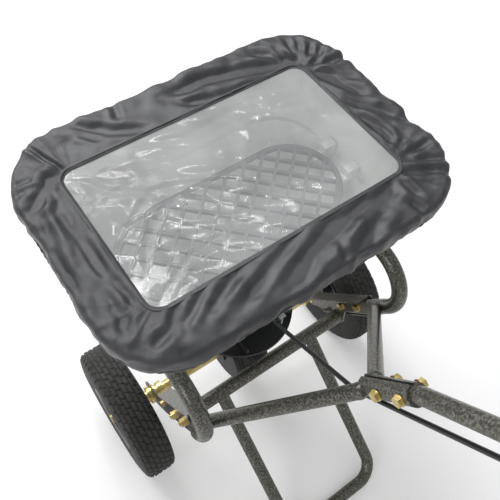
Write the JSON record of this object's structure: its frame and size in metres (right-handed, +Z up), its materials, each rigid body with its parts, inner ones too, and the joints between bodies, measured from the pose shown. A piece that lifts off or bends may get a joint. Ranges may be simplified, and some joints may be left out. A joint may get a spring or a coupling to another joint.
{
  "type": "broadcast spreader",
  "caption": "Push broadcast spreader with a moulded hopper under a windowed rain cover, a round tube frame and handle, pneumatic wheels and a geared spinning disc.",
  "frame": {"origin": "centre of the bounding box on the floor", "axes": "+Z up, +Y towards the front of travel, +X to the right of the person pushing"},
  "size_m": [0.542, 0.9012, 0.9665],
  "materials": {
    "hammertone": "hammered bronze-grey enamel, semi-gloss",
    "black_enamel": "black enamel, satin",
    "rim_enamel": "dark grey enamel, semi-gloss",
    "yellow_zinc": "yellow zinc plating over steel, satin",
    "plated_steel": "clear zinc plating, satin",
    "hopper_plastic": "moulded polyethylene, matt",
    "screen_plastic": "moulded grey polypropylene, matt",
    "black_plastic": "moulded black nylon, matt",
    "gear_nylon": "natural nylon, satin",
    "grip_foam": "closed-cell foam, matt",
    "black_rubber": "moulded rubber, matt",
    "tyre_rubber": "tread rubber, matt",
    "cover_cloth": "coated nylon cloth, slight sheen",
    "elastic": "covered elastic, matt",
    "window_film": "clear vinyl film, glossy with wrinkles"
  },
  "bodies": {
    "spreader": {"hopper": "hopper_plastic", "screen_clips": "hopper_plastic", "frame_tube": "hammertone", "left_bracket": "hammertone", "right_bracket": "hammertone", "cross_tube": "hammertone", "stand": "hammertone", "stand_feet": "black_rubber", "left_handle_tube": "hammertone", "right_handle_tube": "hammertone", "handle_column": "hammertone", "handle_bar": "hammertone", "left_grip": "grip_foam", "right_grip": "grip_foam", "bar_bolt": "yellow_zinc", "handle_bolts": "yellow_zinc", "handle_nuts": "yellow_zinc", "frame_bolts": "yellow_zinc", "frame_nuts": "yellow_zinc", "hopper_bolts": "yellow_zinc", "gauge_plate": "plated_steel", "lever_pivot": "yellow_zinc", "rate_stop": "black_plastic", "gate_guides": "plated_steel", "left_axle_bush": "yellow_zinc", "right_axle_bush": "yellow_zinc", "gearbox_left": "black_plastic", "gearbox_right": "black_plastic", "gearbox_screws": "plated_steel", "shaft_bush": "gear_nylon"},
    "cover": {"cover_skirt": "cover_cloth", "cover_window": "window_film", "cover_hem": "elastic"},
    "screen": {"debris_screen": "screen_plastic"},
    "axle_set": {"axle": "yellow_zinc", "axle_collars": "yellow_zinc", "axle_washers": "yellow_zinc", "axle_clips": "plated_steel", "drive_pin": "plated_steel", "drive_gear": "gear_nylon", "gear_pin": "plated_steel", "left_tyre": "tyre_rubber", "left_rim": "rim_enamel", "left_valve": "black_rubber", "left_wheel_bushes": "gear_nylon"},
    "right_wheel": {"right_tyre": "tyre_rubber", "right_rim": "rim_enamel", "right_valve": "black_rubber", "right_wheel_bushes": "gear_nylon"},
    "spinner": {"impeller_shaft": "plated_steel", "pinion": "gear_nylon", "impeller": "black_plastic", "agitator": "plated_steel"},
    "lever": {"control_lever": "hammertone", "lever_knob": "black_plastic"},
    "gate": {"gate_plate": "plated_steel"},
    "rod": {"control_rod": "black_enamel"},
    "thumbscrew": {"stop_thumbscrew": "black_plastic"}
  },
  "joints": [
    {"name": "cover_lift", "type": "slide", "parent": "spreader", "child": "cover", "axis": [0, 0, 1], "range_m": [0, 0.3]},
    {"name": "screen_lift", "type": "slide", "parent": "spreader", "child": "screen", "axis": [0, 0, 1], "range_m": [0, 0.08]},
    {"name": "axle_spin", "type": "hinge", "parent": "spreader", "child": "axle_set", "pos_m": [0, 0.22679, 0.127], "axis": [1, 0, 0], "continuous": true},
    {"name": "right_wheel_spin", "type": "hinge", "parent": "axle_set", "child": "right_wheel", "pos_m": [0.239, 0.22679, 0.127], "axis": [1, 0, 0], "continuous": true},
    {"name": "spinner_spin", "type": "hinge", "parent": "spreader", "child": "spinner", "pos_m": [0, 0.22679, 0.272], "axis": [0, 0, 1], "continuous": true},
    {"name": "lever_swing", "type": "hinge", "parent": "spreader", "child": "lever", "pos_m": [0.0205, -0.28488, 0.79], "axis": [-1, 0, 0], "range_deg": [0, 31.98]},
    {"name": "gate_slide", "type": "slide", "parent": "spreader", "child": "gate", "axis": [0, -1, 0], "range_m": [0, 0.0306]},
    {"name": "rod_tilt", "type": "hinge", "parent": "gate", "child": "rod", "pos_m": [0.026, 0.15079, 0.331], "axis": [-1, 0, 0], "range_deg": [0, 2.06]},
    {"name": "thumbscrew_turn", "type": "hinge", "parent": "spreader", "child": "thumbscrew", "pos_m": [0.005, -0.20837, 0.81339], "axis": [1, 0, 0], "range_deg": [-180, 180]}
  ],
  "couplings": [
    {"joint": "spinner_spin", "follows": "axle_spin", "ratio": -4},
    {"joint": "gate_slide", "follows": "lever_swing", "m_per_rad": 0.054791},
    {"joint": "rod_tilt", "follows": "lever_swing", "ratio": 0.064377}
  ]
}
